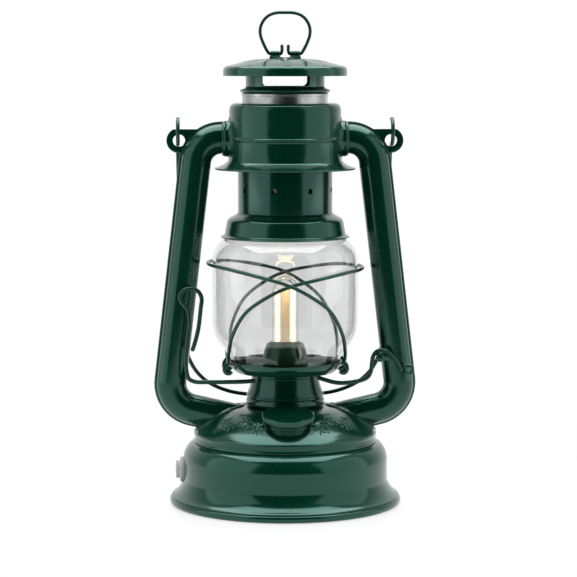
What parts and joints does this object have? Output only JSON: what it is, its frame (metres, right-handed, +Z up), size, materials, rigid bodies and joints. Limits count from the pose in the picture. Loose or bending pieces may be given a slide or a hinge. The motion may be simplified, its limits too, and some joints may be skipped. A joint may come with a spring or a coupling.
{
  "type": "storm lantern",
  "caption": "Enamelled storm lantern with an electric lamp tube in a glass globe, two side tubes, sliding chimney, lift lever, dimmer key, screw cap and swinging bail.",
  "frame": {"origin": "on the ground at the centre of the foot", "axes": "+Z up through the chimney; -Y is the front with the filler cap and the controls; +X to the right seen from the front"},
  "size_m": [0.157, 0.1388, 0.2937],
  "materials": {
    "green_enamel": "gloss",
    "dark_enamel": "satin",
    "dark_wire": "gloss",
    "galvanised_steel": "satin",
    "plain_steel": "satin",
    "dark_plastic": "matte",
    "silver_plastic": "satin",
    "rubber_seal": "matte",
    "cell_sleeve": "gloss",
    "circuit_laminate": "satin",
    "clear_glass": "gloss",
    "filament_ceramic": "matte",
    "filament_glow": "gloss"
  },
  "bodies": {
    "frame": {"foot_rim": "green_enamel", "tank_body": "green_enamel", "seam_band": "green_enamel", "bottom_cover": "dark_plastic", "base_hatch": "dark_plastic", "cover_screw_1": "plain_steel", "cover_screw_2": "plain_steel", "cover_screw_3": "plain_steel", "cover_screw_4": "plain_steel", "battery_tray": "dark_plastic", "battery_cell_1": "cell_sleeve", "battery_cell_2": "cell_sleeve", "battery_cell_3": "cell_sleeve", "circuit_board": "circuit_laminate", "button_bezel": "silver_plastic", "switch_body": "dark_plastic", "filler_neck": "green_enamel", "charge_port": "plain_steel", "tank_top": "green_enamel", "burner_collar": "green_enamel", "burner_sleeve": "green_enamel", "burner_dome": "dark_enamel", "dome_clip": "galvanised_steel", "lamp_stem": "dark_plastic", "lamp_tube": "clear_glass", "filament_carrier": "filament_ceramic", "filament_left": "filament_glow", "filament_right": "filament_glow", "side_tube_left": "green_enamel", "side_tube_right": "green_enamel", "bail_ear_left": "green_enamel", "bail_ear_right": "green_enamel", "tube_collar_left": "green_enamel", "tube_collar_right": "green_enamel", "tube_saddle_left": "green_enamel", "tube_saddle_right": "green_enamel", "crown_drum": "green_enamel", "crown_skirt": "green_enamel", "lever_pin": "green_enamel", "lever_catch": "green_enamel", "chimney_spring": "plain_steel"},
    "push_button": {"push_button": "silver_plastic"},
    "cap_carrier": {"cap_liner": "rubber_seal"},
    "filler_cap": {"filler_cap": "green_enamel"},
    "carriage": {"globe_plate": "green_enamel", "globe": "clear_glass", "guard_hoop_a": "dark_wire", "guard_hoop_b": "dark_wire"},
    "chimney": {"chimney_canopy": "green_enamel", "chimney_tube": "green_enamel", "spring_seat": "plain_steel", "inner_tube": "galvanised_steel", "vent_ring": "green_enamel", "vent_wall": "green_enamel", "hood": "green_enamel"},
    "lift_ring": {"lift_ring": "dark_wire"},
    "lift_lever": {"lift_lever": "dark_wire"},
    "dimmer_key": {"dimmer_key": "dark_wire"},
    "bail": {"bail": "dark_wire"}
  },
  "joints": [
    {"name": "button_press", "type": "slide", "parent": "frame", "child": "push_button", "axis": [1, 0, 0], "range_m": [0, 0.0014], "stiffness_N_per_m": 400, "springref_m": -0.001},
    {"name": "cap_rise", "type": "slide", "parent": "frame", "child": "cap_carrier", "axis": [0, -0.1908, 0.9816], "range_m": [0, 0.003]},
    {"name": "cap_turn", "type": "hinge", "parent": "cap_carrier", "child": "filler_cap", "pos_m": [0, -0.0398, 0.0594], "axis": [0, -0.1908, 0.9816], "range_deg": [0, 602]},
    {"name": "globe_lift", "type": "slide", "parent": "frame", "child": "carriage", "axis": [0, 0, 1], "range_m": [0, 0.0048]},
    {"name": "lever_swing", "type": "hinge", "parent": "frame", "child": "lift_lever", "pos_m": [0.0558, -0.0124, 0.0886], "axis": [0, 1, 0], "range_deg": [0, 8]},
    {"name": "chimney_lift", "type": "slide", "parent": "carriage", "child": "chimney", "axis": [0, 0, 1], "range_m": [0, 0.012], "stiffness_N_per_m": 250, "springref_m": -0.015, "deforming": ["chimney_spring"]},
    {"name": "ring_swing", "type": "hinge", "parent": "chimney", "child": "lift_ring", "pos_m": [0, 0, 0.2684], "axis": [1, 0, 0], "range_deg": [-85, 85]},
    {"name": "key_swing", "type": "hinge", "parent": "frame", "child": "dimmer_key", "pos_m": [-0.02, -0.0124, 0.0743], "axis": [1, 0, 0], "range_deg": [0, 115]},
    {"name": "bail_swing", "type": "hinge", "parent": "frame", "child": "bail", "pos_m": [0, 0, 0.2226], "axis": [1, 0, 0], "range_deg": [0, 195]}
  ],
  "couplings": [
    {"joint": "cap_turn", "follows": "cap_rise", "rad_per_m": 3490.7},
    {"joint": "lever_swing", "follows": "globe_lift", "rad_per_m": 28.2}
  ]
}
